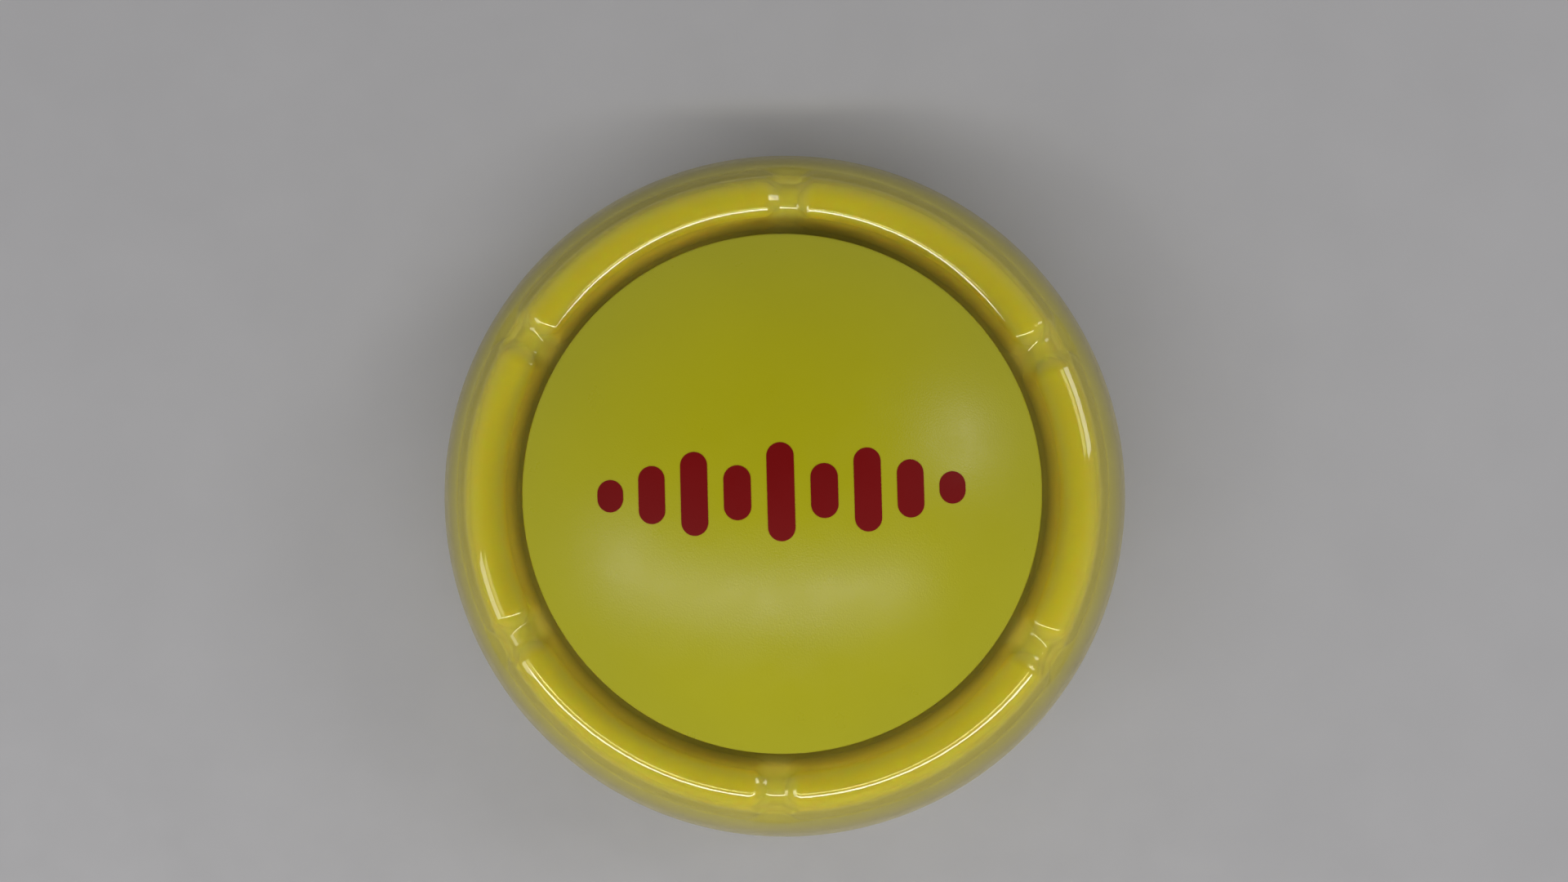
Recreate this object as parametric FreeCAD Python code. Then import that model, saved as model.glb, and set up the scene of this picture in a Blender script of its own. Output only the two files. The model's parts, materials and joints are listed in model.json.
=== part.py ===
"""Quiz buzzer: a round table-top sound button, written as one STEP per piece.

Millimetres. The origin is the centre of the circle that the four rubber feet stand on, +Z is up
and along the button's travel. +Y is the side where the battery bay lies, -Y the side of the loudspeaker.
"""

import FreeCAD, Part
import math
import os
from FreeCAD import Vector

# ---- Driving dimensions ----
overall_radius = 45.0  # the clear ring's bottom rim
base_bottom = 1.0  # the housing stands this high on its feet
fit_gap = 0.1  # between moulded pieces that push together
thread_gap = 0.05  # between a screw's shank and its hole

# The ring: a round crest with a skirt outside it, in a clear skin over a coloured core.
crest_radius = 34.7  # where the crest's centre circle lies
crest_centre_z = 23.3
clear_wall = 1.1
clear_crest = 4.2  # radius of the crest's cross-section, outside
core_crest = clear_crest - clear_wall - fit_gap
core_wall = 1.6
skirt_tangent = 15.0  # degrees above the horizontal where the crest turns into the skirt
rim_height = 1.4
rim_bottom = 1.2
groove_count = 6
groove_depth = 0.85
pip_radius = 0.85

# The housing under it.
split_z = 12.0  # where the base pan meets the coloured ring
floor_top = 3.0
ledge_bottom = 18.0
ledge_top = 19.4
ledge_radius = 30.4
tongue_height = 1.4

# The button.
dome_radius = 29.8
dome_rim_z = 30.5
dome_rise = 8.9
dome_wall = 2.0
dome_skirt_wall = 1.8
dome_skirt_bottom = 24.0
dome_edge_round = 0.7
button_travel = 3.5
carrier_bottom = 27.2
carrier_top = 29.2
hook_angles = (90.0, 210.0, 330.0)
spring_angles = (30.0, 150.0, 270.0)

# The chassis plate, between the button and the battery bay.
plate_bottom = 16.0
plate_top = ledge_bottom
plate_radius = 35.8
board_bottom = 19.5
board_top = 21.1
board_radius = 15.5

# Two AAA cells side by side along X.
cell_radius = 5.1
cell_length = 44.5
cell_axis_z = 8.1
cell_rows_y = (2.9, 13.5)
bay_x = 25.0
bay_y = (-2.5, 18.9)
bay_wall = 1.2
bay_roof = (13.6, 14.8)
door_top = 2.6
door_centre_y = 8.2
door_screw_x = 28.4

# The loudspeaker, face down behind the grille.
speaker_centre = Vector(0.0, -19.5, 0.0)
speaker_radius = 14.5

# Fasteners: (head radius, head height, shank radius).
housing_screw = (2.2, 1.6, 1.1)
small_screw = (1.7, 1.3, 0.9)
foot_pitch_radius = 33.4
foot_radius = 3.7
foot_angles = (45.0, 135.0, 225.0, 315.0)
foot_depth = 1.0  # how deep a foot sits in its recess
chassis_screw_radius = 34.2
chassis_screw_angles = (0.0, 120.0, 240.0)

UP = Vector(0, 0, 1)
ORIGIN = Vector(0, 0, 0)


# ---- Helpers ----
def polar(radius, angle, z=0.0):
    turn = math.radians(angle)
    return Vector(radius * math.cos(turn), radius * math.sin(turn), z)


def rod(radius, low, high, at=ORIGIN):
    """An upright cylinder from height low to height high."""
    return Part.makeCylinder(radius, high - low, Vector(at.x, at.y, low))


def pipe(outer, inner, low, high, at=ORIGIN):
    return rod(outer, low, high, at).cut(rod(inner, low - 1, high + 1, at))


def block(x0, x1, y0, y1, z0, z1):
    return Part.makeBox(x1 - x0, y1 - y0, z1 - z0, Vector(x0, y0, z0))


def turned(shape, angle):
    copy = shape.copy()
    copy.rotate(ORIGIN, UP, angle)
    return copy


def fused(shapes):
    whole = shapes[0]
    if len(shapes) > 1:
        whole = whole.fuse(shapes[1:])
    return whole.removeSplitter()


def line(a, b):
    return Part.LineSegment(a, b).toShape()


def section(radius, z):
    """A point of a profile in the half plane that is turned about Z."""
    return Vector(radius, 0, z)


def section_arc(centre, radius, start, end):
    """An arc in the profile plane; angles in degrees from +radius towards +Z."""
    points = [
        section(centre[0] + radius * math.cos(a), centre[1] + radius * math.sin(a))
        for a in (math.radians(start), math.radians((start + end) / 2), math.radians(end))
    ]
    return Part.Arc(*points).toShape()


def outline(*pieces):
    """Joins points and edges, in order, into one closed wire with straight lines between them."""
    edges = []
    first = last = None
    for piece in pieces:
        start, end = (piece, piece)
        if not isinstance(piece, Vector):
            start, end = (piece.firstVertex(True).Point, piece.lastVertex(True).Point)
        if last is not None and last.distanceToPoint(start) > 1e-6:
            edges.append(line(last, start))
        if not isinstance(piece, Vector):
            edges.append(piece)
        first = first or start
        last = end
    if last.distanceToPoint(first) > 1e-6:
        edges.append(line(last, first))
    return Part.Wire(edges)


def spun(*pieces):
    """A solid of revolution about Z from a closed profile."""
    return Part.Face(outline(*pieces)).revolve(ORIGIN, UP, 360)


def save(name, shape):
    solids = shape.Solids
    if not solids or not all(s.isValid() and s.Volume > 0 for s in solids):
        raise ValueError(f"{name} is not made of sound solids")
    Part.Compound(solids).exportStep(f"parts/{name}.step")
    print(f"{name:22s} {len(solids):2d} solids  {shape.Volume:10.2f} mm3")


def screw(size, length, head_at, up=True):
    """A pan-head screw with a cross recess. Its shank runs up, or down, from head_at."""
    head_radius, head_height, shank_radius = size
    tip = shank_radius * 1.2
    head = spun(
        section(0, 0),
        section(head_radius, 0),
        section(head_radius, -0.55 * head_height),
        section(0.72 * head_radius, -head_height),
        section(0, -head_height),
    )
    for angle in (45, 135):
        bar = block(-0.62 * head_radius, 0.62 * head_radius, -0.13 * head_radius, 0.13 * head_radius,
                    -2 * head_height, -0.42 * head_height)
        head = head.cut(turned(bar, angle))
    shank = spun(
        section(0, 0),
        section(shank_radius, 0),
        section(shank_radius, length - tip),
        section(0.25 * shank_radius, length),
        section(0, length),
    )
    whole = head.fuse(shank).removeSplitter()
    if not up:
        whole.rotate(ORIGIN, Vector(1, 0, 0), 180)
    whole.translate(head_at)
    return whole


def coil(radius, wire_radius, length, turns):
    """A helical spring standing on z = 0."""
    height = length - 2 * wire_radius
    helix = Part.makeLongHelix(height / turns, height, radius)
    helix.translate(Vector(0, 0, wire_radius))
    start = helix.Edges[0]
    tangent = start.tangentAt(start.FirstParameter)
    circle = Part.Wire(Part.Circle(start.valueAt(start.FirstParameter), tangent, wire_radius).toShape())
    return Part.Wire(helix.Edges).makePipeShell([circle], True, True)


def lead(points, wire_radius):
    """An insulated lead: straight runs joined by tangent arcs, as large as their runs allow."""
    edges = []
    last = points[0]
    for i in range(1, len(points) - 1):
        before = points[i - 1] - points[i]
        after = points[i + 1] - points[i]
        shorter = min(before.Length, after.Length)
        before.normalize()
        after.normalize()
        half_turn = (math.pi - before.getAngle(after)) / 2
        cut_back = 0.45 * shorter
        start = points[i] + before * cut_back
        end = points[i] + after * cut_back
        to_centre = before + after
        to_centre.normalize()
        bend = cut_back / math.tan(half_turn)
        middle = points[i] + to_centre * (bend / math.cos(half_turn) - bend)
        edges.append(line(last, start))
        edges.append(Part.Arc(start, middle, end).toShape())
        last = end
    edges.append(line(last, points[-1]))
    circle = Part.Circle(points[0], points[1] - points[0], wire_radius).toShape()
    path = Part.Wire(edges)
    tube = path.makePipeShell([Part.Wire(circle)], True, True)
    expected = math.pi * wire_radius**2 * path.Length
    if abs(tube.Volume / expected - 1) > 0.01:
        raise ValueError(f"a lead's volume is {tube.Volume:.2f}, not {expected:.2f} mm3")
    return tube


# ---- The grooves across the ring ----
def groove_tool(floor, top, widen, from_angle, to_angle):
    """What one groove takes away, at angle 0: a rounded trench bent round the crest's centre line.

    floor and top are distances from that line; widen is added to each side of the trench.
    """
    flat = 0.8 + widen
    bend = 1.0
    steep = math.radians(40)
    shallow = math.radians(12)
    rise = groove_depth
    low_arc = (bend * math.sin(steep), bend * (1 - math.cos(steep)))
    high_arc = (bend * (math.sin(steep) - math.sin(shallow)), bend * (math.cos(shallow) - math.cos(steep)))
    straight = rise - low_arc[1] - high_arc[1]

    def spot(across, out):
        return Vector(0, across, floor + out)

    def arc(centre, start, end, side):
        spots = []
        for a in (start, (start + end) / 2, end):
            spots.append(spot(side * (centre[0] + bend * math.sin(a)), centre[1] - bend * math.cos(a)))
        return Part.Arc(*spots).toShape()

    p1 = (flat + low_arc[0], low_arc[1])
    p2 = (p1[0] + straight / math.tan(steep), p1[1] + straight)
    turn_centre = (p2[0] + bend * math.sin(steep), p2[1] - bend * math.cos(steep))
    p3 = (p2[0] + high_arc[0], rise)
    over = top - floor
    p4 = (p3[0] + (over - rise) / math.tan(shallow), over)

    def convex(side):
        spots = []
        for a in (steep, (steep + shallow) / 2, shallow):
            spots.append(spot(side * (turn_centre[0] - bend * math.sin(a)), turn_centre[1] + bend * math.cos(a)))
        return Part.Arc(*spots).toShape()

    edges = []
    for side in (1, -1):
        edges.append(arc((flat, bend), 0, steep, side))
        edges.append(line(spot(side * p1[0], p1[1]), spot(side * p2[0], p2[1])))
        edges.append(convex(side))
        edges.append(line(spot(side * p3[0], p3[1]), spot(side * p4[0], p4[1])))
    edges.append(line(spot(flat, 0), spot(-flat, 0)))
    edges.append(line(spot(p4[0], p4[1]), spot(-p4[0], p4[1])))
    face = Part.Face(Part.Wire(Part.sortEdges(edges)[0]))
    # The section lies in the plane of +Y (across) and +Z (out); turn it about Y, the crest's tangent.
    face.rotate(ORIGIN, Vector(0, 1, 0), 90 - from_angle)
    tool = face.revolve(ORIGIN, Vector(0, 1, 0), from_angle - to_angle)
    tool.translate(Vector(crest_radius, 0, crest_centre_z))
    return tool


def groove_tools(floor, top, widen=0.0, from_angle=12.0, to_angle=180.0):
    tool = groove_tool(floor, top, widen, from_angle, to_angle)
    return [turned(tool, 30 + k * 360 / groove_count) for k in range(groove_count)]


# ---- The ring ----
def clear_ring():
    centre = (crest_radius, crest_centre_z)
    inner_crest = clear_crest - clear_wall
    skirt_in = overall_radius - clear_wall - 0.3
    shell = spun(
        section(crest_radius - clear_crest, ledge_top),
        section_arc(centre, clear_crest, 180, skirt_tangent),
        section(overall_radius, rim_bottom + rim_height),
        section(overall_radius, rim_bottom),
        section(skirt_in, rim_bottom),
        section(skirt_in, rim_bottom + rim_height),
        section_arc(centre, inner_crest, skirt_tangent, 180),
        section(crest_radius - inner_crest, ledge_top),
    )
    thick = groove_tools(inner_crest - groove_depth, inner_crest + 0.3, 0.4)
    ring = shell.fuse(thick)
    ring = ring.cut(groove_tools(clear_crest - groove_depth, clear_crest + 0.3))
    pips = []
    for k in range(groove_count):
        pip = rod(pip_radius, rim_bottom, rim_bottom + rim_height, polar(skirt_in, 30 + 60 * k))
        pips.append(pip.common(rod(skirt_in + 0.4, 0, 9)))
    return ring.fuse(pips).removeSplitter()


def top_ring():
    """The coloured ring: it is the upper housing, with the ledge that holds the clear ring and the plate."""
    centre = (crest_radius, crest_centre_z)
    inner_crest = core_crest - core_wall
    outside = crest_radius + core_crest
    inside = outside - core_wall
    ring = spun(
        section(outside, split_z),
        section_arc(centre, core_crest, 0, 180),
        section(crest_radius - core_crest, ledge_top),
        section(ledge_radius, ledge_top),
        section(ledge_radius, ledge_bottom),
        section(crest_radius - inner_crest, ledge_bottom),
        section_arc(centre, inner_crest, 180, 0),
        section(inside, split_z + tongue_height + fit_gap),
        section(inside + 0.8, split_z + tongue_height + fit_gap),
        section(inside + 0.8, split_z),
    )
    ring = ring.cut(groove_tools(core_crest - groove_depth, core_crest + 0.3, 0.5))
    bosses = []
    holes = []
    for angle in foot_angles:
        at = polar(foot_pitch_radius, angle)
        bosses.append(rod(2.5, 10.0, 19.0, at))
        holes.append(rod(housing_screw[2] + thread_gap, 9.0, 17.0, at))
    for angle in chassis_screw_angles:
        at = polar(chassis_screw_radius, angle)
        bosses.append(rod(2.1, ledge_bottom, crest_centre_z, at))
        holes.append(rod(small_screw[2] + thread_gap, 17.0, 22.9, at))
    inside_only = rod(inside + 0.1, 9.0, 24.0)
    bosses = [b.common(inside_only) for b in bosses]
    return ring.fuse(bosses).cut(holes).removeSplitter()


# ---- The base ----
def door_outline(grow, low, high):
    """The battery door's shape: a rounded rectangle with an ear at each end."""
    half_y = (bay_y[1] - bay_y[0]) / 2 + 0.2 + grow
    half_x = bay_x + 0.4 + grow
    ear_half = 2.7 + grow
    ear_x = door_screw_x + 2.7 + grow
    plate = block(-half_x, half_x, door_centre_y - half_y, door_centre_y + half_y, low, high)
    ears = block(-ear_x, ear_x, door_centre_y - ear_half, door_centre_y + ear_half, low, high)
    whole = plate.fuse(ears).removeSplitter()
    upright = [e for e in whole.Edges if abs(e.tangentAt(e.FirstParameter).z) > 0.99]
    return whole.makeFillet(0.8, upright)


def grille_slots():
    slots = []
    for k in range(-3, 4):
        offset = 3.1 * k
        half = math.sqrt(11.0**2 - offset**2)
        x, y = speaker_centre.x, speaker_centre.y + offset
        slots.append(block(x - half, x + half, y - 0.8, y + 0.8, 0, floor_top + 0.5))
        slots.append(rod(0.8, 0, floor_top + 0.5, Vector(x - half, y, 0)))
        slots.append(rod(0.8, 0, floor_top + 0.5, Vector(x + half, y, 0)))
    return slots


def base_pan():
    outside = crest_radius + core_crest
    inside = outside - core_wall
    pan = spun(
        section(0, base_bottom),
        section(outside - 0.8, base_bottom),
        section(outside, base_bottom + 0.8),
        section(outside, split_z),
        section(inside + 0.7, split_z),
        section(inside + 0.7, split_z + tongue_height),
        section(inside, split_z + tongue_height),
        section(inside, floor_top),
        section(0, floor_top),
    )
    bay_outer = block(-bay_x - bay_wall, bay_x + bay_wall, bay_y[0] - bay_wall, bay_y[1] + bay_wall,
                      base_bottom, bay_roof[1])
    solids = [bay_outer, pipe(speaker_radius + 1.3, speaker_radius + 0.1, base_bottom, 3.7, speaker_centre)]
    holes = [block(-bay_x, bay_x, bay_y[0], bay_y[1], base_bottom - 1, bay_roof[0])]
    holes.append(door_outline(0.2, base_bottom - 1, door_top))
    holes += grille_slots()
    for angle in foot_angles:
        at = polar(foot_pitch_radius, angle)
        solids.append(rod(3.4, base_bottom, 10.0, at))
        holes.append(rod(foot_radius + 0.1, 0, base_bottom + foot_depth, at))
        holes.append(rod(housing_screw[0] + 0.2, 0, 5.0, at))
        holes.append(rod(housing_screw[2] + 0.25, 0, 11.0, at))
    for side in (-1, 1):
        at = Vector(side * door_screw_x, door_centre_y, 0)
        solids.append(rod(2.1, base_bottom, 9.5, at))
        holes.append(rod(small_screw[2] + thread_gap, 0, 8.6, at))
        at = speaker_centre + Vector(side * (speaker_radius + 2.2), 0, 0)
        solids.append(rod(2.0, base_bottom, 3.8, at))
        holes.append(rod(0.75 + thread_gap, 1.8, 6.0, at))
    # Slots in the bay's roof for the two solder tags.
    for y in tag_rows_y:
        holes.append(block(24.3, bay_x, y - 1.2, y + 1.2, 12.0, 16.0))
    keep = rod(outside, 0, 20)
    solids = [s.common(keep) for s in solids]
    return pan.fuse(solids).cut(holes).removeSplitter()


def battery_door():
    door = door_outline(0.0, base_bottom, door_top)
    grips = []
    for k in range(5):
        x = -6.4 + 3.2 * k
        grips.append(block(x - 0.6, x + 0.6, door_centre_y - 4.5, door_centre_y + 4.5, 0, base_bottom + 0.5))
    for side in (-1, 1):
        at = Vector(side * door_screw_x, door_centre_y, 0)
        grips.append(rod(small_screw[0] + 0.2, 0, door_top - 0.6, at))
        grips.append(rod(small_screw[2] + 0.2, 0, 9.0, at))
    return door.cut(grips).removeSplitter()


def rubber_foot(angle):
    at = polar(foot_pitch_radius, angle)
    foot = rod(foot_radius, 0, base_bottom + foot_depth, at)
    rim = [e for e in foot.Edges if abs(e.CenterOfMass.z) < 1e-6 and e.Length > 1]
    return foot.makeFillet(0.4, rim)


# ---- The battery ----
tag_rows_y = (-0.6, 10.4)


def cell(row):
    """An AAA cell along X. Row 0 has its button end at -X, row 1 at +X."""
    nub = 1.1
    can = cell_length - nub
    body = Part.makeCylinder(cell_radius, can, Vector(-cell_length / 2, 0, 0), Vector(1, 0, 0))
    body = body.makeFillet(0.5, [e for e in body.Edges if isinstance(e.Curve, Part.Circle)])
    tip = Part.makeCylinder(1.9, nub + 0.5, Vector(-cell_length / 2 + can - 0.5, 0, 0), Vector(1, 0, 0))
    whole = body.fuse(tip).removeSplitter()
    if row == 0:
        whole.rotate(ORIGIN, UP, 180)
    whole.translate(Vector(contact_shift[row], cell_rows_y[row], cell_axis_z))
    return whole


# The cells lean on the flat contacts, and the coil contacts take up the length that is left.
contact_thickness = 0.4
contact_shift = (-(bay_x - contact_thickness - cell_length / 2), bay_x - contact_thickness - cell_length / 2)


def contact_plate(x_low, y_low, y_high):
    return block(x_low, x_low + contact_thickness, y_low, y_high, 4.0, 12.4)


def battery_springs():
    """The coils that press on the cells' flat ends: one at +X for row 0, one at -X for row 1."""
    length = 2 * bay_x - 2 * contact_thickness - cell_length
    springs = []
    for row, turn in ((0, 0), (1, 180)):
        spring = coil(3.0, 0.3, length, 3)
        spring.rotate(ORIGIN, Vector(0, 1, 0), -90)
        spring.translate(Vector(bay_x - contact_thickness, 0, 0))
        spring = turned(spring, turn)
        spring.translate(Vector(0, cell_rows_y[row], cell_axis_z))
        springs.append(spring)
    return Part.Compound(springs)


def bridge_contact():
    """The strap at -X, from row 0's button end to row 1's coil."""
    return contact_plate(-bay_x, cell_rows_y[0] - 3.8, cell_rows_y[1] + 3.8)


def tagged_plate(row):
    """A contact at +X with the solder tag that reaches up through the bay's roof."""
    middle = cell_rows_y[row]
    plate = contact_plate(bay_x - contact_thickness, middle - 4.2, middle + 3.8)
    tag = block(bay_x - contact_thickness, bay_x, tag_rows_y[row] - 1.0, tag_rows_y[row] + 1.0, 12.4, 17.0)
    return plate.fuse(tag).removeSplitter()


# ---- The loudspeaker ----
def speaker_basket():
    flange = spun(
        section(10.6, 3.0), section(speaker_radius, 3.0), section(speaker_radius, 3.8), section(12.4, 3.8),
        section(8.4, 7.4), section(8.4, 8.2), section(3.2, 8.2), section(3.2, 7.6), section(7.7, 7.6),
        section(7.7, 7.1), section(11.7, 3.6), section(10.6, 3.6),
    )
    tag_board = block(6.5, 11.5, 3.2, 8.2, 8.2, 9.0)
    basket = flange.fuse(tag_board).removeSplitter()
    basket.translate(speaker_centre)
    return basket


def speaker_magnet():
    magnet = rod(6.2, 8.2, 12.6)
    magnet = magnet.fuse([rod(3.0, 7.0, 8.4), rod(6.8, 12.4, 13.4)]).removeSplitter()
    magnet.translate(speaker_centre)
    return magnet


def speaker_cone():
    """The paper cone with its rolled edge and dust cap."""
    skin = 0.35
    cone = spun(
        section(0, 5.1),
        section_arc((0, 1.1), 4.0, 90, 55),
        section_arc((10.0, 3.6), 0.6, 180, 0),
        section(11.2, 3.6),
        section(11.2, 3.6 + skin),
        section_arc((10.0, 3.6), 0.6 + skin, 21.6, 150),
        section(2.6, 4.9 + skin),
        section(0, 5.1 + skin),
    )
    cone.translate(speaker_centre)
    return cone


def speaker_screws():
    size = (2.9, 0.9, 0.75)
    return Part.Compound([
        screw(size, 1.9, speaker_centre + Vector(side * (speaker_radius + 2.2), 0, 3.8), up=False)
        for side in (-1, 1)
    ])


# ---- The chassis plate and the sound board ----
def chassis_plate():
    plate = rod(plate_radius, plate_bottom, plate_top)
    additions = [rod(2.2, plate_top, board_bottom, polar(12.6, a)) for a in (60, 180, 300)]
    additions += [rod(2.7, plate_top, plate_top + 2.6, polar(20, a)) for a in spring_angles]
    holes = [rod(housing_screw[2] + 1.7, 15, 20, polar(foot_pitch_radius, a)) for a in foot_angles]
    holes += [rod(small_screw[2] + 0.2, 15, 20, polar(chassis_screw_radius, a)) for a in chassis_screw_angles]
    holes += [rod(small_screw[2] + thread_gap, 16.6, 21, polar(12.6, a)) for a in (60, 180, 300)]
    holes += [turned(block(25.1, 27.8, -4.5, 4.5, 15, 20), a) for a in hook_angles]
    holes.append(block(23.2, 27.6, -3.0, 12.6, 15, 20))  # solder tags and battery leads
    holes.append(rod(2.2, 15, 20, polar(21.5, 312)))  # loudspeaker leads
    return plate.fuse(additions).cut(holes).removeSplitter()


def sound_board():
    board = rod(board_radius, board_bottom, board_top)
    return board.cut([rod(small_screw[2] + 0.2, 19, 22, polar(12.6, a)) for a in (60, 180, 300)])


def sound_chip():
    """The blob of black resin over the sound chip."""
    blob = Part.makeSphere(5.6, Vector(0, 0, -4.2), UP, 0, 90, 360)
    blob = blob.common(rod(5.0, 0, 3.0))
    blob.translate(Vector(-8.2, 6.0, board_top))
    return blob


def board_parts():
    """Chip resistors and capacitors, a transistor and a low can capacitor."""
    top = board_top
    places = [(-5.5, -9.5), (-2.0, -9.5), (1.5, -9.5), (-8.5, -5.5), (-4.0, 9.0), (8.6, 5.0)]
    parts = [block(x - 1.0, x + 1.0, y - 0.6, y + 0.6, top, top + 0.6) for x, y in places]
    parts.append(block(0.5, 3.4, 8.2, 9.8, top, top + 1.1))
    parts.append(rod(2.1, top, top + 2.4, Vector(8.4, -3.6, 0)))
    return Part.Compound(parts)


def switch_pad():
    """The conductive rubber dome that the button's striker pushes down on the board."""
    top = board_top
    return spun(
        section(3.9, top), section(6.0, top), section(6.0, top + 0.8), section(5.2, top + 0.8),
        section(3.5, top + 3.6), section(3.5, top + 4.8), section(0, top + 4.8), section(0, top + 2.6),
        section(2.2, top + 2.6), section(2.2, top + 3.2), section(2.9, top + 3.2), section(4.4, top + 0.7),
    )


# ---- The button ----
def dome_sphere():
    """The dome's radius and the height of its centre."""
    radius = (dome_radius**2 + dome_rise**2) / (2 * dome_rise)
    return radius, dome_rim_z + dome_rise - radius


def button_dome():
    radius, centre_z = dome_sphere()
    round_centre = (
        dome_radius - dome_edge_round,
        centre_z + math.sqrt((radius - dome_edge_round)**2 - (dome_radius - dome_edge_round)**2),
    )
    edge_angle = math.degrees(math.atan2(round_centre[1] - centre_z, round_centre[0]))
    inner_radius = radius - dome_wall
    inner_skirt = dome_radius - dome_skirt_wall
    inner_angle = math.degrees(math.acos(inner_skirt / inner_radius))
    shell = spun(
        section_arc((0, centre_z), radius, 90, edge_angle),
        section_arc(round_centre, dome_edge_round, edge_angle, 0),
        section(dome_radius, dome_skirt_bottom),
        section(inner_skirt, dome_skirt_bottom),
        section_arc((0, centre_z), inner_radius, inner_angle, 90),
    )
    inside = Part.makeSphere(radius - dome_wall / 2, Vector(0, 0, centre_z))
    bosses = [rod(2.8, carrier_top, 45, polar(14, a)).common(inside) for a in hook_angles]
    holes = [rod(small_screw[2] + thread_gap, 28, 34.6, polar(14, a)) for a in hook_angles]
    return shell.fuse(bosses).cut(holes).removeSplitter()


def dome_symbol():
    """A sound-wave mark in vinyl, stuck on the dome: nine upright bars with round ends."""
    radius, centre_z = dome_sphere()
    film = 0.12
    skin = Part.makeSphere(radius + film, Vector(0, 0, centre_z)).cut(
        Part.makeSphere(radius, Vector(0, 0, centre_z)))
    bar_width = 3.0
    pitch = 4.75
    heights = (3.6, 6.4, 9.2, 6.0, 10.8, 6.0, 9.2, 6.4, 3.6)
    bars = []
    for k, height in enumerate(heights):
        x = (k - (len(heights) - 1) / 2) * pitch
        half = height / 2 - bar_width / 2
        bar = block(x - bar_width / 2, x + bar_width / 2, -half, half, 30, 50)
        ends = [rod(bar_width / 2, 30, 50, Vector(x, y, 0)) for y in (-half, half)]
        bars.append(turned(bar.fuse(ends).removeSplitter(), 2.7).common(skin))
    return Part.Compound([s for bar in bars for s in bar.Solids])


def button_carrier():
    """The plate screwed inside the dome, with the striker, the spring seats and the three hooked legs."""
    hook_top = plate_bottom - fit_gap
    plate = rod(dome_radius - dome_skirt_wall - 0.3, carrier_bottom, carrier_top)
    striker_bottom = board_top + 4.8 + fit_gap
    additions = [rod(3.6, striker_bottom, carrier_bottom)]
    additions += [rod(2.7, carrier_bottom - 2.0, carrier_bottom, polar(20, a)) for a in spring_angles]
    for angle in hook_angles:
        leg = block(25.5, 27.2, -4.0, 4.0, 13.6, carrier_bottom)
        hook = block(25.5, 28.8, -4.0, 4.0, 13.6, hook_top)
        lead_in = Part.makeBox(6, 10, 6, Vector(28.8, -5, 13.6 - 6))
        lead_in.rotate(Vector(28.8, 0, 13.6), Vector(0, 1, 0), -40)
        additions.append(turned(leg.fuse(hook).cut(lead_in), angle))
    holes = [rod(small_screw[2] + 0.2, 26, 31, polar(14, a)) for a in hook_angles]
    return plate.fuse(additions).cut(holes).removeSplitter()


# ---- Leads ----
def leads():
    """Where each lead runs, end to end."""
    wire_radius = 0.6
    tag_x = bay_x + 0.7
    battery = {
        "battery_wire_black": [
            Vector(tag_x, tag_rows_y[0], 15.2), Vector(tag_x, tag_rows_y[0], 19.2),
            Vector(22.0, -0.2, 20.6), Vector(17.8, 0.6, 22.6), Vector(13.6, 1.0, 22.6), Vector(13.6, 1.0, board_top),
        ],
        "battery_wire_red": [
            Vector(tag_x, tag_rows_y[1], 15.2), Vector(tag_x, tag_rows_y[1], 19.2),
            Vector(23.4, 6.2, 20.6), Vector(18.4, 3.8, 22.6), Vector(13.8, 3.6, 22.6), Vector(13.8, 3.6, board_top),
        ],
    }
    hole = polar(21.5, 312)
    terminal = speaker_centre + Vector(9.0, 4.5, 9.0)
    speaker = {}
    for name, shift in (("speaker_wire_red", -0.8), ("speaker_wire_black", 0.8)):
        speaker[name] = [
            terminal + Vector(shift * 1.6, 0, 0), terminal + Vector(shift * 1.6, 0, 3.0),
            Vector(hole.x + shift, hole.y + shift, 15.0), Vector(hole.x + shift, hole.y + shift, 20.2),
            Vector(11.9 + shift, -10.6 + shift, 22.8), Vector(9.9 + shift, -9.4 + shift, 22.4),
            Vector(9.9 + shift, -9.4 + shift, board_top),
        ]
    return {name: lead(points, wire_radius) for name, points in {**battery, **speaker}.items()}


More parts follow.
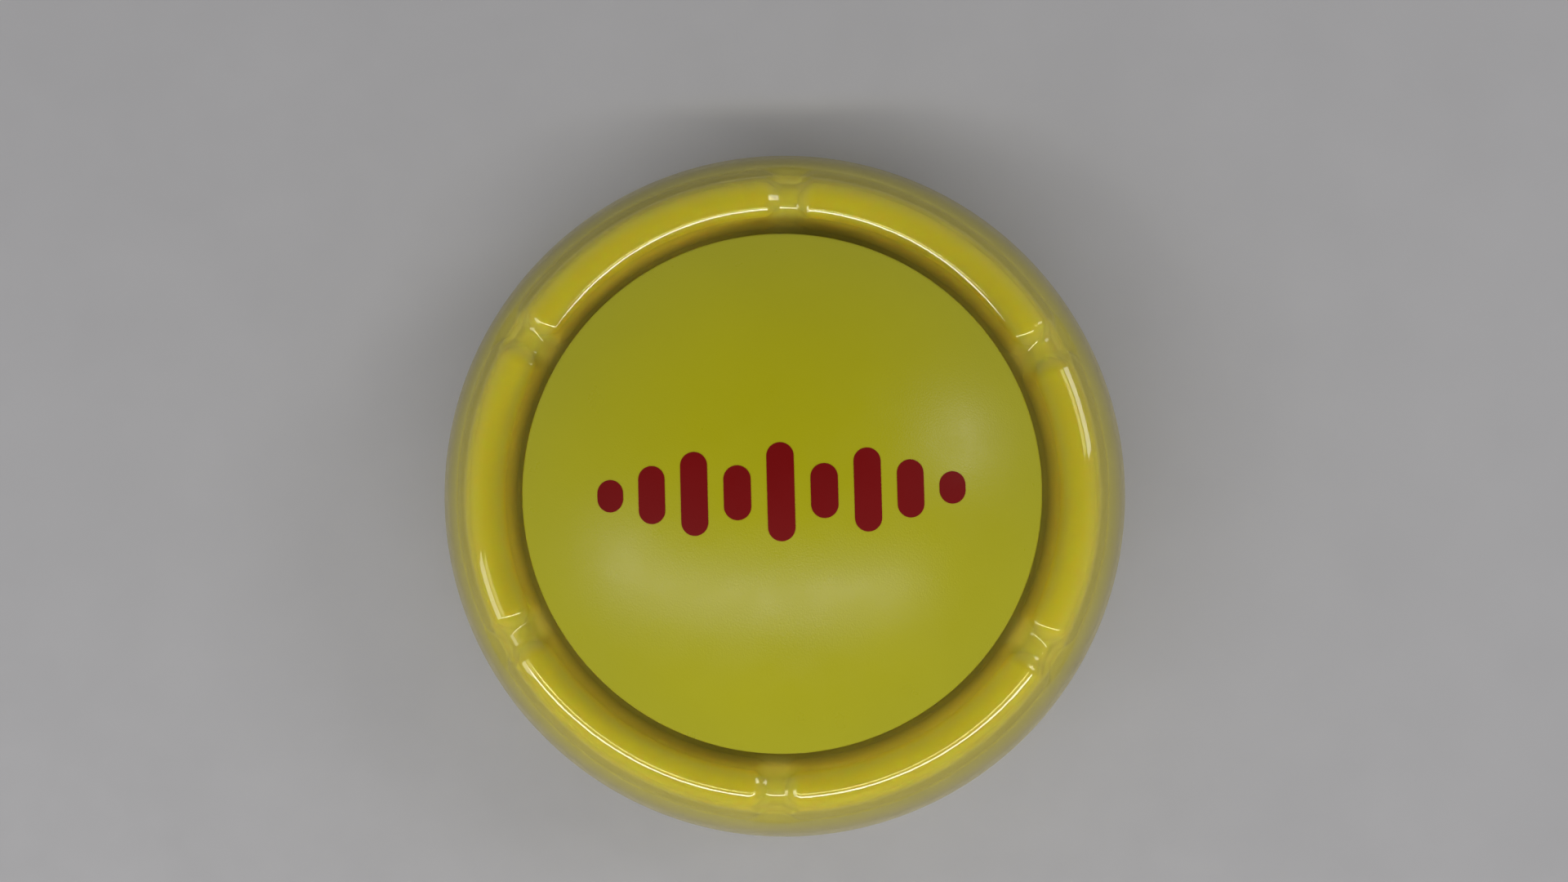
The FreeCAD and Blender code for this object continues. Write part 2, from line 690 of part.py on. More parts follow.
def main():
    os.makedirs("parts", exist_ok=True)
    save("clear_ring", clear_ring())
    save("top_ring", top_ring())
    save("base_pan", base_pan())
    for k, angle in enumerate(foot_angles):
        save(f"rubber_foot_{k + 1}", rubber_foot(angle))
    save("housing_screws", Part.Compound(
        [screw(housing_screw, 10.5, polar(foot_pitch_radius, a, 5.0)) for a in foot_angles]))
    save("battery_door", battery_door())
    save("door_screws", Part.Compound([
        screw(small_screw, 6.0, Vector(side * door_screw_x, door_centre_y, door_top - 0.6)) for side in (-1, 1)
    ]))
    for row in (0, 1):
        save(f"aaa_cell_{row + 1}", cell(row))
    save("battery_springs", battery_springs())
    save("bridge_contact", bridge_contact())
    save("negative_contact", tagged_plate(0))
    save("positive_contact", tagged_plate(1))
    save("speaker_basket", speaker_basket())
    save("speaker_magnet", speaker_magnet())
    save("speaker_cone", speaker_cone())
    save("speaker_screws", speaker_screws())
    save("chassis_plate", chassis_plate())
    save("chassis_screws", Part.Compound(
        [screw(small_screw, 6.2, polar(chassis_screw_radius, a, plate_bottom)) for a in chassis_screw_angles]))
    save("sound_board", sound_board())
    save("sound_chip", sound_chip())
    save("board_parts", board_parts())
    save("board_screws", Part.Compound(
        [screw(small_screw, 4.2, polar(12.6, a, board_top), up=False) for a in (60, 180, 300)]))
    save("switch_pad", switch_pad())
    for k, angle in enumerate(spring_angles):
        spring = coil(3.5, 0.35, carrier_bottom - plate_top, 5.5)
        spring.translate(polar(20, angle, plate_top))
        save(f"return_spring_{k + 1}", spring)
    save("button_dome", button_dome())
    save("dome_symbol", dome_symbol())
    save("button_carrier", button_carrier())
    save("carrier_screws", Part.Compound(
        [screw(small_screw, 7.0, polar(14, a, carrier_bottom)) for a in hook_angles]))
    for name, shape in leads().items():
        save(name, shape)


main()
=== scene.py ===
import json
import math

import bmesh
import bpy
import numpy as np
from mathutils import Matrix, Vector


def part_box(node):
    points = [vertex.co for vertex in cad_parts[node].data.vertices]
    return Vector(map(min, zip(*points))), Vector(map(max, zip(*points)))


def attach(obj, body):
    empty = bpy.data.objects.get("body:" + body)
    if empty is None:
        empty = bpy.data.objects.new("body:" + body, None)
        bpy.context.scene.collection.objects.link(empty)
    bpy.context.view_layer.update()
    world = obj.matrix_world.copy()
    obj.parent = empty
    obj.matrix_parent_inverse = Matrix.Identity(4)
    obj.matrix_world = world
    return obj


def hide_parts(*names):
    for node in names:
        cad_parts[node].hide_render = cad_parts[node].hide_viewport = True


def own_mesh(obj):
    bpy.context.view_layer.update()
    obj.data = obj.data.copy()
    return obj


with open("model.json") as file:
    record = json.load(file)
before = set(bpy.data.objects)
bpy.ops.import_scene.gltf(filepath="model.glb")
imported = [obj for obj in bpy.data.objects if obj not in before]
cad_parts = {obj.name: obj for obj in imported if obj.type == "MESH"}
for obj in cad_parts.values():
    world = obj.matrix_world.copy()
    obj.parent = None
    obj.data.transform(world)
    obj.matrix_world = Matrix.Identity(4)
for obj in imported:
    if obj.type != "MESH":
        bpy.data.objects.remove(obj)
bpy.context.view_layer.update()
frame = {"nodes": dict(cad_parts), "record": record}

# All lengths are metres. The sizes are the CAD part's own.
MM = 0.001

# The clear shell: a rounded crest over a skirt that flares down to the rim.
RIM_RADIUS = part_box("clear_ring")[1].x
RIM_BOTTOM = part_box("clear_ring")[0].z
RIM_WALL = 1.4 * MM
RIM_TOP = RIM_BOTTOM + 1.4 * MM
RIM_BEAD = 0.35 * MM
CLEAR_CREST = 4.2 * MM
CLEAR_WALL = 1.1 * MM
SKIRT_ANGLE = 15  # degrees, where the skirt leaves the crest

# The coloured ring under it.
CORE_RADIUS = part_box("top_ring")[1].x
CORE_CREST = 3.0 * MM
CORE_WALL = 1.6 * MM
CREST_R = CORE_RADIUS - CORE_CREST
CREST_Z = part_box("clear_ring")[1].z - CLEAR_CREST
LEDGE_TOP = 19.4 * MM
LEDGE_BOTTOM = 18.0 * MM
LEDGE_RADIUS = 30.4 * MM
LEDGE_ROUND = 0.3 * MM
SPLIT_Z = 12.0 * MM

# Six grooves cross both.
GROOVES = [math.radians(30 + 60 * k) for k in range(6)]
GROOVE_DEPTH = 0.85 * MM
GROOVE_FLOOR = 0.6 * MM  # half width of the groove's flat floor
GROOVE_HALF = 2.9 * MM  # half width at the top of its sides

# The push dome: part of a sphere with a rounded edge and a short skirt.
DOME_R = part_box("button_dome")[1].x
DOME_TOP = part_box("button_dome")[1].z
DOME_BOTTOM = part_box("button_dome")[0].z
DOME_RISE = 8.9 * MM
DOME_ROUND = 0.7 * MM
DOME_WALL = 2.0 * MM
DOME_SKIRT_WALL = 1.8 * MM
DOME_SPHERE = (DOME_R**2 + DOME_RISE**2) / (2 * DOME_RISE)
DOME_CENTRE = DOME_TOP - DOME_SPHERE


# ---- Meshes ----
def smooth(low, high, value):
    """Rises smoothly from 0 at low to 1 at high."""
    t = np.clip((value - low) / (high - low), 0, 1)
    return t * t * (3 - 2 * t)


def arc(centre, radius, start, end, count, groove=None):
    """Profile points on an arc, each with the way a groove sinks and how far, from 0 to 1."""
    points = []
    for a in np.linspace(math.radians(start), math.radians(end), count):
        out = np.array([math.cos(a), math.sin(a)])
        depth = groove(math.degrees(a)) if groove else 0.0
        points.append((np.array(centre) + radius * out, -out, depth))
    return points


def run(start, end, count=2):
    """Profile points on a straight line, which no groove sinks."""
    start, end = np.array(start), np.array(end)
    return [(start * (1 - t) + end * t, np.zeros(2), 0.0) for t in np.linspace(0, 1, count)]


def piece(name, vertices, faces, sharp=math.radians(35)):
    """A smooth-shaded object with its touching vertices welded."""
    mesh = bpy.data.meshes.new(name)
    mesh.from_pydata([tuple(v) for v in vertices], [], faces)
    welded = bmesh.new()
    welded.from_mesh(mesh)
    bmesh.ops.remove_doubles(welded, verts=welded.verts, dist=1e-6)
    welded.to_mesh(mesh)
    welded.free()
    mesh.shade_smooth()
    mesh.set_sharp_from_angle(angle=sharp)
    made = bpy.data.objects.new(name, mesh)
    bpy.context.scene.collection.objects.link(made)
    return made


def lathe(name, profile, steps, widen=0.0):
    """Turns a closed profile about Z, sinks the six grooves into it, and faces it outwards."""
    kept = [profile[0]]
    for point in profile[1:]:
        if np.linalg.norm(point[0] - kept[-1][0]) > 1e-6:
            kept.append(point)
    spots = np.array([point[0] for point in kept])
    following = np.roll(spots, -1, axis=0)
    if np.sum(spots[:, 0] * following[:, 1] - following[:, 0] * spots[:, 1]) < 0:
        kept.reverse()
    vertices = []
    for turn in np.linspace(0, 2 * math.pi, steps, endpoint=False):
        across = min(abs((turn - g + math.pi) % (2 * math.pi) - math.pi) for g in GROOVES) * CREST_R
        sunk = GROOVE_DEPTH * (1 - smooth(GROOVE_FLOOR + widen, GROOVE_HALF + widen, across))
        for spot, way, depth in kept:
            r, z = spot + way * depth * sunk
            vertices.append((r * math.cos(turn), r * math.sin(turn), z))
    count = len(kept)
    faces = []
    for i in range(steps):
        here = i * count
        there = (i + 1) % steps * count
        for j in range(count):
            k = (j + 1) % count
            faces.append((here + j, there + j, there + k, here + k))
    return piece(name, vertices, faces)


def groove_fade(angle):
    """A groove is deepest over the crest and fades out on both of its shoulders."""
    return float(smooth(8, 34, angle) * (1 - smooth(125, 168, angle)))


def clear_shell():
    """The clear moulding: its well wall, grooved crest, skirt and beaded rim."""
    centre = (CREST_R, CREST_Z)
    inner = CLEAR_CREST - CLEAR_WALL
    skirt_in = RIM_RADIUS - RIM_WALL
    tangent = math.radians(SKIRT_ANGLE)
    profile = run((CREST_R - CLEAR_CREST, LEDGE_TOP), (CREST_R - CLEAR_CREST, CREST_Z), 6)
    profile += arc(centre, CLEAR_CREST, 180, SKIRT_ANGLE, 66, groove_fade)
    profile += run(profile[-1][0], (RIM_RADIUS - 0.1 * MM, RIM_TOP + RIM_BEAD), 24)
    profile += arc((RIM_RADIUS - RIM_BEAD, RIM_TOP - 0.1 * MM), RIM_BEAD, SKIRT_ANGLE, 0, 3)
    profile += arc((RIM_RADIUS - RIM_BEAD, RIM_BOTTOM + RIM_BEAD), RIM_BEAD, 0, -90, 6)
    profile += arc((skirt_in + RIM_BEAD, RIM_BOTTOM + RIM_BEAD), RIM_BEAD, -90, -180, 6)
    start = np.array(centre) + inner * np.array([math.cos(tangent), math.sin(tangent)])
    profile += run((skirt_in, RIM_TOP), start, 24)
    profile += arc(centre, inner, SKIRT_ANGLE, 180, 66, groove_fade)
    profile += run((CREST_R - inner, CREST_Z), (CREST_R - inner, LEDGE_TOP), 6)
    return lathe("clear_shell", profile, 1080)


def colour_ring():
    """The yellow ring: its outer wall, grooved crest, well wall and the ledge at the well's foot."""
    centre = (CREST_R, CREST_Z)
    well_r = CREST_R - CORE_CREST
    inner = CORE_CREST - CORE_WALL
    profile = run((CORE_RADIUS, SPLIT_Z), (CORE_RADIUS, CREST_Z), 6)
    profile += arc(centre, CORE_CREST, 0, 180, 72, groove_fade)
    profile += run((well_r, CREST_Z), (well_r, LEDGE_TOP + LEDGE_ROUND), 5)
    profile += arc((well_r - LEDGE_ROUND, LEDGE_TOP + LEDGE_ROUND), LEDGE_ROUND, 0, -90, 5)
    profile += run((LEDGE_RADIUS, LEDGE_TOP), (LEDGE_RADIUS, LEDGE_BOTTOM))
    profile += run((CREST_R - inner, LEDGE_BOTTOM), (CREST_R - inner, CREST_Z))
    profile += arc(centre, inner, 180, 0, 16)
    profile += run((CREST_R + inner, CREST_Z), (CREST_R + inner, SPLIT_Z))
    return lathe("colour_ring", profile, 1080, widen=0.35 * MM)


def dome_cap():
    """The push dome, hollow underneath."""
    fillet_r = DOME_R - DOME_ROUND
    fillet_z = DOME_CENTRE + math.sqrt((DOME_SPHERE - DOME_ROUND)**2 - fillet_r**2)
    edge = math.degrees(math.atan2(fillet_z - DOME_CENTRE, fillet_r))
    inside = DOME_SPHERE - DOME_WALL
    inner_r = DOME_R - DOME_SKIRT_WALL
    profile = arc((0, DOME_CENTRE), DOME_SPHERE, 90, edge, 70)
    profile += arc((fillet_r, fillet_z), DOME_ROUND, edge, 0, 10)
    profile += run((DOME_R, fillet_z), (DOME_R, DOME_BOTTOM + 0.2 * MM), 6)
    profile += run((DOME_R - 0.2 * MM, DOME_BOTTOM), (inner_r, DOME_BOTTOM))
    profile += arc((0, DOME_CENTRE), inside, math.degrees(math.acos(inner_r / inside)), 90, 40)
    return lathe("dome_cap", profile, 480)


def dome_height(x, y):
    """How high the dome's surface is at a point."""
    return DOME_CENTRE + math.sqrt(DOME_SPHERE**2 - x**2 - y**2)


def sound_mark():
    """Nine round-ended bars, like a sound wave, printed on the dome."""
    heights = (3.6, 6.4, 9.2, 6.0, 10.8, 6.0, 9.2, 6.4, 3.6)
    half_width = 1.5 * MM
    pitch = 4.75 * MM
    film = 0.05 * MM
    tilt = Matrix.Rotation(math.radians(2.7), 2)
    across, along = 25, 41
    vertices, faces = [], []
    for k, height in enumerate(heights):
        middle = (k - (len(heights) - 1) / 2) * pitch
        straight = height * MM / 2 - half_width
        for layer in (film, -film):
            for i in range(across):
                x = half_width * math.sin(math.pi * (i / (across - 1) - 0.5))
                reach = straight + math.sqrt(max(half_width**2 - x**2, 0.0))
                for j in range(along):
                    spot = tilt @ Vector((middle + x, reach * (2 * j / (along - 1) - 1)))
                    vertices.append((spot.x, spot.y, dome_height(spot.x, spot.y) + layer))
        top = 2 * k * across * along
        under = top + across * along
        for i in range(across - 1):
            for j in range(along - 1):
                a, b = i * along + j, (i + 1) * along + j
                faces.append((top + a, top + b, top + b + 1, top + a + 1))
                faces.append((under + a + 1, under + b + 1, under + b, under + a))
            for j in (0, along - 1):
                a, b = i * along + j, (i + 1) * along + j
                faces.append((top + a, under + a, under + b, top + b)[::1 if j == 0 else -1])
    return piece("sound_mark", vertices, faces)


def rim_pips():
    """Six half-round pips that key the clear rim, one below each groove."""
    radius = 0.85 * MM
    inset = 1.45 * MM
    height = RIM_TOP - RIM_BOTTOM
    steps = 24
    # Each ring's height above the rim's foot and its share of the full radius. Both ends are rounded.
    foot = ((0.1 * MM, 0.85), (0.25 * MM, 1.0))
    head = ((height, 1.0), (height + 0.3 * MM, 0.8), (height + 0.4 * MM, 0.01))
    rings = foot + head
    vertices, faces = [], []
    for groove in GROOVES:
        first = len(vertices)
        middle = Vector((math.cos(groove), math.sin(groove))) * (RIM_RADIUS - inset)
        for z, grow in rings:
            for i in range(steps):
                turn = groove + math.pi + (i / (steps - 1) - 0.5) * math.pi
                x = middle.x + radius * grow * math.cos(turn)
                y = middle.y + radius * grow * math.sin(turn)
                vertices.append((x, y, RIM_BOTTOM + z))
        for ring in range(len(rings) - 1):
            for i in range(steps):
                j = (i + 1) % steps
                a = first + ring * steps
                faces.append((a + i, a + j, a + steps + j, a + steps + i))
        faces.append(tuple(first + i for i in reversed(range(steps))))
    return piece("rim_pips", vertices, faces)


def soft_copy(node):
    """A copy of a spring or pad, placed where the part stands."""
    shown = frame["nodes"][node]
    made = bpy.data.objects.new("soft_" + node, shown.data.copy())
    made.matrix_world = shown.matrix_world.copy()
    bpy.context.scene.collection.objects.link(made)
    return made


# ---- Materials ----
def material(name):
    """A new node material, with the parts of it that the functions below use."""
    made = bpy.data.materials.new(name)
    made.use_nodes = True
    nodes = made.node_tree.nodes
    return made, nodes, made.node_tree.links, nodes["Principled BSDF"]


def noise(nodes, links, scale, detail=3.0, stretch=(1, 1, 1)):
    """A noise pattern fixed to the object."""
    where = nodes.new("ShaderNodeTexCoord")
    mapping = nodes.new("ShaderNodeMapping")
    mapping.inputs["Scale"].default_value = stretch
    pattern = nodes.new("ShaderNodeTexNoise")
    pattern.inputs["Scale"].default_value = scale
    pattern.inputs["Detail"].default_value = detail
    links.new(where.outputs["Object"], mapping.inputs["Vector"])
    links.new(mapping.outputs["Vector"], pattern.inputs["Vector"])
    return pattern.outputs["Fac"]


def spread(nodes, links, value, low, high):
    """Maps a noise's usual 0.3 to 0.7 onto low to high."""
    ranged = nodes.new("ShaderNodeMapRange")
    ranged.inputs["From Min"].default_value = 0.3
    ranged.inputs["From Max"].default_value = 0.7
    ranged.inputs["To Min"].default_value = low
    ranged.inputs["To Max"].default_value = high
    links.new(value, ranged.inputs["Value"])
    return ranged.outputs["Result"]


def mixed(nodes, links, factor, first, second):
    """Blends from the first colour to the second."""
    mix = nodes.new("ShaderNodeMix")
    mix.data_type = "RGBA"
    mix.inputs["A"].default_value = (*first, 1)
    mix.inputs["B"].default_value = (*second, 1)
    links.new(factor, mix.inputs["Factor"])
    return mix.outputs["Result"]


def surface(name, colour, rough, vary=0.08, grain=2500.0, bump=0.02 * MM, metal=0.0, stretch=(1, 1, 1),
            glow=0.0, sheen=0.5):
    """A solid material: mottled colour, uneven roughness, and a fine grain in relief.

    glow is how far light wanders inside it, and sheen is the strength of its plain reflection.
    """
    made, nodes, links, shader = material(name)
    shade = spread(nodes, links, noise(nodes, links, 60.0, 4.0, stretch), 0.0, 1.0)
    darker = tuple(c * (1 - vary) for c in colour)
    lighter = tuple(min(c * (1 + vary), 1) for c in colour)
    links.new(mixed(nodes, links, shade, darker, lighter), shader.inputs["Base Color"])
    links.new(spread(nodes, links, noise(nodes, links, 260.0, 4.0, stretch), rough * 0.88, rough * 1.12),
              shader.inputs["Roughness"])
    relief = nodes.new("ShaderNodeBump")
    relief.inputs["Strength"].default_value = 0.5
    relief.inputs["Distance"].default_value = bump
    links.new(noise(nodes, links, grain, 2.0, stretch), relief.inputs["Height"])
    links.new(relief.outputs["Normal"], shader.inputs["Normal"])
    shader.inputs["Metallic"].default_value = metal
    shader.inputs["Specular IOR Level"].default_value = sheen
    if glow:
        shader.inputs["Subsurface Weight"].default_value = 1.0
        shader.inputs["Subsurface Radius"].default_value = (1.0, 0.55, 0.05)
        shader.inputs["Subsurface Scale"].default_value = glow
    shader.inputs["IOR"].default_value = 1.5
    return made


def clear_plastic():
    """Clear moulded plastic under a polished skin, with a milky haze. The haze's olive-yellow colour and the
    glass's yellow tint high up are painted light: they stand in for the yellow core's light seen through and
    reflected in the skirt.

    The haze is thickest high on the skirt. Light passes through to what is covered, with no black shadow.
    """
    made, nodes, links, shader = material("clear_acrylic")
    shader.inputs["Transmission Weight"].default_value = 1.0
    shader.inputs["IOR"].default_value = 1.06
    shader.inputs["Coat IOR"].default_value = 1.5
    shader.inputs["Coat Roughness"].default_value = 0.012
    where = nodes.new("ShaderNodeTexCoord")
    parts = nodes.new("ShaderNodeSeparateXYZ")
    links.new(where.outputs["Object"], parts.inputs["Vector"])

    def up(z_low, z_high, low, high):
        ranged = nodes.new("ShaderNodeMapRange")
        ranged.interpolation_type = "SMOOTHSTEP"
        ranged.inputs["From Min"].default_value = z_low * MM
        ranged.inputs["From Max"].default_value = z_high * MM
        ranged.inputs["To Min"].default_value = low
        ranged.inputs["To Max"].default_value = high
        links.new(parts.outputs["Z"], ranged.inputs["Value"])
        return ranged.outputs["Result"]

    # Painted light: the glass tint turns yellower higher up, standing in for the yellow core's light seen
    # through the skirt.
    links.new(mixed(nodes, links, up(3, 24, 0, 1), (0.93, 0.91, 0.78), (0.95, 0.92, 0.55)),
              shader.inputs["Base Color"])
    links.new(up(24.4, 26.4, 0.12, 1.0), shader.inputs["Coat Weight"])
    links.new(spread(nodes, links, noise(nodes, links, 300.0, 4.0), 0.10, 0.15), shader.inputs["Roughness"])
    relief = nodes.new("ShaderNodeBump")
    relief.inputs["Strength"].default_value = 0.08
    relief.inputs["Distance"].default_value = 0.02 * MM
    links.new(noise(nodes, links, 180.0, 1.0), relief.inputs["Height"])
    links.new(relief.outputs["Normal"], shader.inputs["Coat Normal"])

    # Painted light: the haze colour is an olive-yellow that grows yellower higher up, standing in for the
    # core's light refracted and reflected in the skirt.
    painted_core_light = mixed(nodes, links, up(2, 24, 0, 1), (0.58, 0.53, 0.30), (0.68, 0.62, 0.15))
    haze = nodes.new("ShaderNodeMixShader")
    for socket, kind in ((1, "ShaderNodeBsdfDiffuse"), (2, "ShaderNodeBsdfTranslucent")):
        scatter = nodes.new(kind)
        links.new(painted_core_light, scatter.inputs["Color"])
        links.new(scatter.outputs["BSDF"], haze.inputs[socket])
    hazy = nodes.new("ShaderNodeMixShader")
    share = nodes.new("ShaderNodeMath")
    share.operation = "MULTIPLY"
    links.new(up(0, 14, 0.42, 0.62), share.inputs[0])
    links.new(up(24.4, 27.3, 1.0, 0.0), share.inputs[1])
    links.new(share.outputs["Value"], hazy.inputs["Fac"])
    links.new(shader.outputs["BSDF"], hazy.inputs[1])
    links.new(haze.outputs["Shader"], hazy.inputs[2])

    path = nodes.new("ShaderNodeLightPath")
    see_through = nodes.new("ShaderNodeBsdfTransparent")
    see_through.inputs["Color"].default_value = (0.93, 0.92, 0.84, 1)
    mix = nodes.new("ShaderNodeMixShader")
    links.new(path.outputs["Is Shadow Ray"], mix.inputs["Fac"])
    links.new(hazy.outputs["Shader"], mix.inputs[1])
    links.new(see_through.outputs["BSDF"], mix.inputs[2])
    links.new(mix.outputs["Shader"], nodes["Material Output"].inputs["Surface"])
    return made


def ring_plastic():
    """The coloured ring's yellow, with a painted amber glow on the well's inner wall that stands in for
    light passing through the yellow into the shaded well.
    """
    made = surface("ring_yellow", (0.43, 0.39, 0.002), 0.5, glow=4.0 * MM, sheen=0.1, vary=0.01, grain=700.0,
                   bump=0.01 * MM)
    nodes, links = made.node_tree.nodes, made.node_tree.links
    colour = nodes["Principled BSDF"].inputs["Base Color"]
    where = nodes.new("ShaderNodeTexCoord")
    flat = nodes.new("ShaderNodeVectorMath")
    flat.operation = "MULTIPLY"
    flat.inputs[1].default_value = (1, 1, 0)
    radius = nodes.new("ShaderNodeVectorMath")
    radius.operation = "LENGTH"
    # Painted light: towards the well's inner wall the yellow turns amber, a painted glow for light passing
    # through the plastic into the shade there.
    well_glow_mask = nodes.new("ShaderNodeMapRange")
    well_glow_mask.interpolation_type = "SMOOTHSTEP"
    well_glow_mask.inputs["From Min"].default_value = 33.4 * MM
    well_glow_mask.inputs["From Max"].default_value = 31.5 * MM
    painted_well_glow = nodes.new("ShaderNodeMix")
    painted_well_glow.data_type = "RGBA"
    painted_well_glow.inputs["B"].default_value = (0.84, 0.53, 0.004, 1)
    links.new(where.outputs["Object"], flat.inputs[0])
    links.new(flat.outputs["Vector"], radius.inputs[0])
    links.new(radius.outputs["Value"], well_glow_mask.inputs["Value"])
    links.new(well_glow_mask.outputs["Result"], painted_well_glow.inputs["Factor"])
    links.new(colour.links[0].from_socket, painted_well_glow.inputs["A"])
    links.new(painted_well_glow.outputs["Result"], colour)
    return made


def cell_sleeve():
    """A cell's printed sleeve: a copper band at the button end and a dark body."""
    made, nodes, links, shader = material("cell_sleeve")
    where = nodes.new("ShaderNodeTexCoord")
    parts = nodes.new("ShaderNodeSeparateXYZ")
    ramp = nodes.new("ShaderNodeValToRGB")
    ramp.color_ramp.interpolation = "CONSTANT"
    ramp.color_ramp.elements[0].color = (0.03, 0.035, 0.04, 1)
    band = ramp.color_ramp.elements[1]
    band.position = 0.68
    band.color = (0.42, 0.18, 0.07, 1)
    links.new(where.outputs["Generated"], parts.inputs["Vector"])
    links.new(parts.outputs["X"], ramp.inputs["Fac"])
    links.new(ramp.outputs["Color"], shader.inputs["Base Color"])
    links.new(spread(nodes, links, noise(nodes, links, 400.0), 0.22, 0.34), shader.inputs["Roughness"])
    shader.inputs["Metallic"].default_value = 0.4
    return made


def make_materials():
    """One material for each of the record's slots, and one for the rim pips."""
    brushed = (1, 1, 8)
    return {
        "clear_acrylic": clear_plastic(),
        "ring_yellow": ring_plastic(),
        "dome_yellow": surface("dome_yellow", (0.43, 0.405, 0.002), 0.31, sheen=0.36, vary=0.025,
                               grain=5200.0, bump=0.03 * MM),
        "base_yellow": surface("base_yellow", (0.44, 0.38, 0.006), 0.36, vary=0.05, grain=3600.0),
        "foot_rubber": surface("foot_rubber", (0.025, 0.025, 0.026), 0.75, vary=0.25, grain=3000.0,
                               bump=0.05 * MM),
        "screw_steel": surface("screw_steel", (0.55, 0.55, 0.56), 0.33, metal=1.0, stretch=brushed),
        "spring_steel": surface("spring_steel", (0.50, 0.50, 0.51), 0.28, metal=1.0, stretch=brushed),
        "contact_nickel": surface("contact_nickel", (0.70, 0.67, 0.61), 0.22, metal=1.0, stretch=brushed),
        "cell_sleeve": cell_sleeve(),
        "basket_steel": surface("basket_steel", (0.30, 0.30, 0.31), 0.38, metal=1.0),
        "magnet_ferrite": surface("magnet_ferrite", (0.06, 0.06, 0.062), 0.6, vary=0.2),
        "cone_paper": surface("cone_paper", (0.035, 0.034, 0.033), 0.85, vary=0.3, grain=1800.0,
                              bump=0.08 * MM),
        "chassis_plastic": surface("chassis_plastic", (0.06, 0.06, 0.062), 0.5),
        "carrier_plastic": surface("carrier_plastic", (0.62, 0.61, 0.57), 0.45),
        "board_laminate": surface("board_laminate", (0.015, 0.13, 0.045), 0.35, vary=0.3),
        "chip_resin": surface("chip_resin", (0.01, 0.01, 0.01), 0.18, vary=0.3),
        "component_ceramic": surface("component_ceramic", (0.19, 0.14, 0.09), 0.4, vary=0.3),
        "pad_silicone": surface("pad_silicone", (0.32, 0.33, 0.34), 0.6),
        "wire_red": surface("wire_red", (0.42, 0.01, 0.01), 0.4),
        "wire_black": surface("wire_black", (0.015, 0.015, 0.015), 0.4),
        "symbol_red": surface("symbol_red", (0.185, 0.001, 0.0015), 0.5, sheen=0.12, vary=0.07, grain=4200.0,
                              bump=0.015 * MM),
        "pip_olive": surface("pip_olive", (0.085, 0.08, 0.022), 0.5, vary=0.1, grain=3600.0),
    }


def dress(made, slot):
    """Gives a piece one of the materials and nothing else."""
    made.data.materials.clear()
    made.data.materials.append(materials[slot])


# ---- The room ----
def make_floor():
    """A plain pale table top."""
    steps, half = 16, 3.0
    spots = np.linspace(-half, half, steps)
    vertices = [(x, y, 0.0) for y in spots for x in spots]
    faces = []
    for i in range(steps - 1):
        for j in range(steps - 1):
            a = i * steps + j
            faces.append((a, a + 1, a + 1 + steps, a + steps))
    floor = piece("floor", vertices, faces)
    floor.data.materials.append(
        surface("floor_laminate", (0.45, 0.444, 0.45), 0.55, vary=0.02, grain=900.0, bump=0.01 * MM))


def soft_light(name, zenith, towards, power, size, distance=0.8):
    """An area light, by its angle from straight up and its level direction, both in degrees."""
    light = bpy.data.lights.new(name, "AREA")
    light.shape = "RECTANGLE"
    light.energy = power
    light.size, light.size_y = size
    made = bpy.data.objects.new(name, light)
    level = math.radians(towards)
    lean = math.radians(zenith)
    way = Vector((math.sin(lean) * math.cos(level), math.sin(lean) * math.sin(level), math.cos(lean)))
    made.location = way * distance
    made.rotation_euler = way.to_track_quat("Z", "X").to_euler()
    bpy.context.scene.collection.objects.link(made)


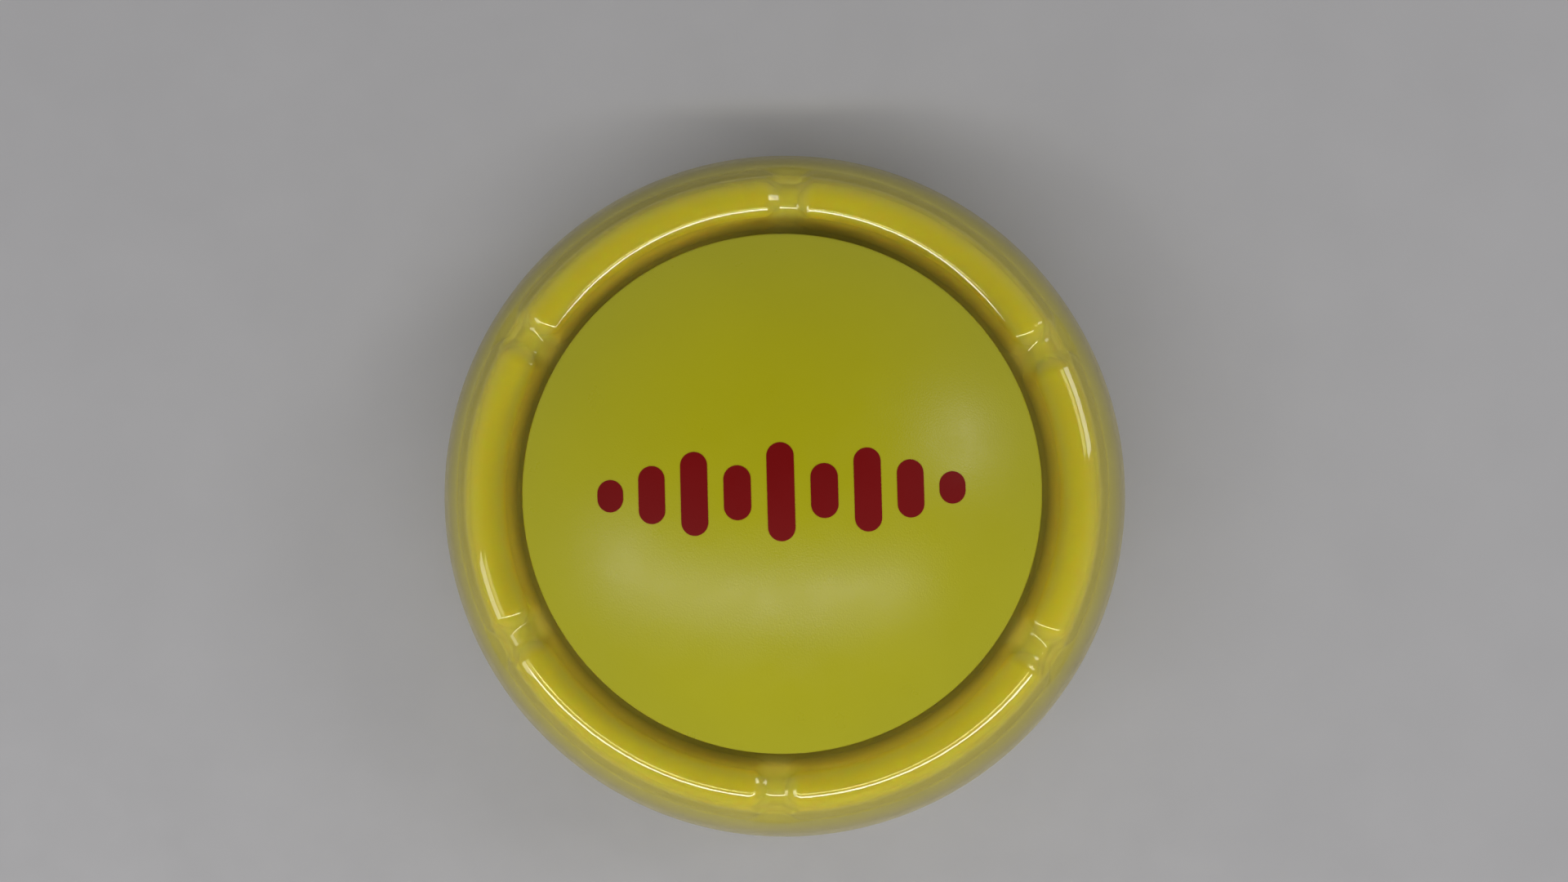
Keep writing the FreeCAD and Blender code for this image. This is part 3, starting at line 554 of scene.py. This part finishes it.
def make_lights():
    """Three soft lights and a room whose walls are brighter than its ceiling."""
    soft_light("window_light", 28, -88, 2.9, (0.06, 1.1))
    soft_light("right_light", 50, 18, 0.7, (0.2, 0.2))
    soft_light("left_light", 47, 205, 0.7, (0.2, 0.25))
    world = bpy.data.worlds.new("room")
    world.use_nodes = True
    nodes, links = world.node_tree.nodes, world.node_tree.links
    where = nodes.new("ShaderNodeTexCoord")
    parts = nodes.new("ShaderNodeSeparateXYZ")
    ceiling = nodes.new("ShaderNodeMapRange")
    ceiling.inputs["From Min"].default_value = 0.2
    ceiling.inputs["From Max"].default_value = 0.95
    ceiling.inputs["To Min"].default_value = 0.6
    ceiling.inputs["To Max"].default_value = 0.12
    links.new(where.outputs["Generated"], parts.inputs["Vector"])
    links.new(parts.outputs["Z"], ceiling.inputs["Value"])
    links.new(ceiling.outputs["Result"], nodes["Background"].inputs["Strength"])
    nodes["Background"].inputs["Color"].default_value = (0.98, 0.98, 1.0, 1)
    bpy.context.scene.world = world


def make_camera():
    """Looks almost straight down from just beside the axis, so that the buzzer sits low in the frame."""
    height = 0.210
    lean = math.radians(2.2)
    aside = math.radians(0.55)
    roll = math.radians(1.2)
    data = bpy.data.cameras.new("camera")
    data.sensor_width = 36.0
    data.lens = 36.0
    camera = bpy.data.objects.new("camera", data)
    camera.location = (0.002, -0.001, height)
    turn = Matrix.Rotation(roll, 3, "Z") @ Matrix.Rotation(lean, 3, "X") @ Matrix.Rotation(aside, 3, "Y")
    camera.rotation_euler = turn.to_euler()
    bpy.context.scene.collection.objects.link(camera)
    bpy.context.scene.camera = camera
    bpy.context.scene.view_settings.view_transform = "Standard"


materials = make_materials()
slot_of = {entry["node"]: entry["material_slot"] for entry in frame["record"]["subparts"]}
for node, shown in frame["nodes"].items():
    dress(shown, slot_of[node])

for make, body, node in (
    (clear_shell, "housing", "clear_ring"),
    (colour_ring, "housing", "top_ring"),
    (dome_cap, "button", "button_dome"),
    (sound_mark, "button", "dome_symbol"),
):
    made = make()
    dress(made, slot_of[node])
    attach(made, body)
    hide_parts(node)

for node in ("return_spring_1", "return_spring_2", "return_spring_3", "switch_pad"):
    made = soft_copy(node)
    dress(made, slot_of[node])
    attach(made, "housing")
    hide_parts(node)
    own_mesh(made)

pips = rim_pips()
dress(pips, "pip_olive")
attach(pips, "housing")

make_floor()
make_lights()
make_camera()
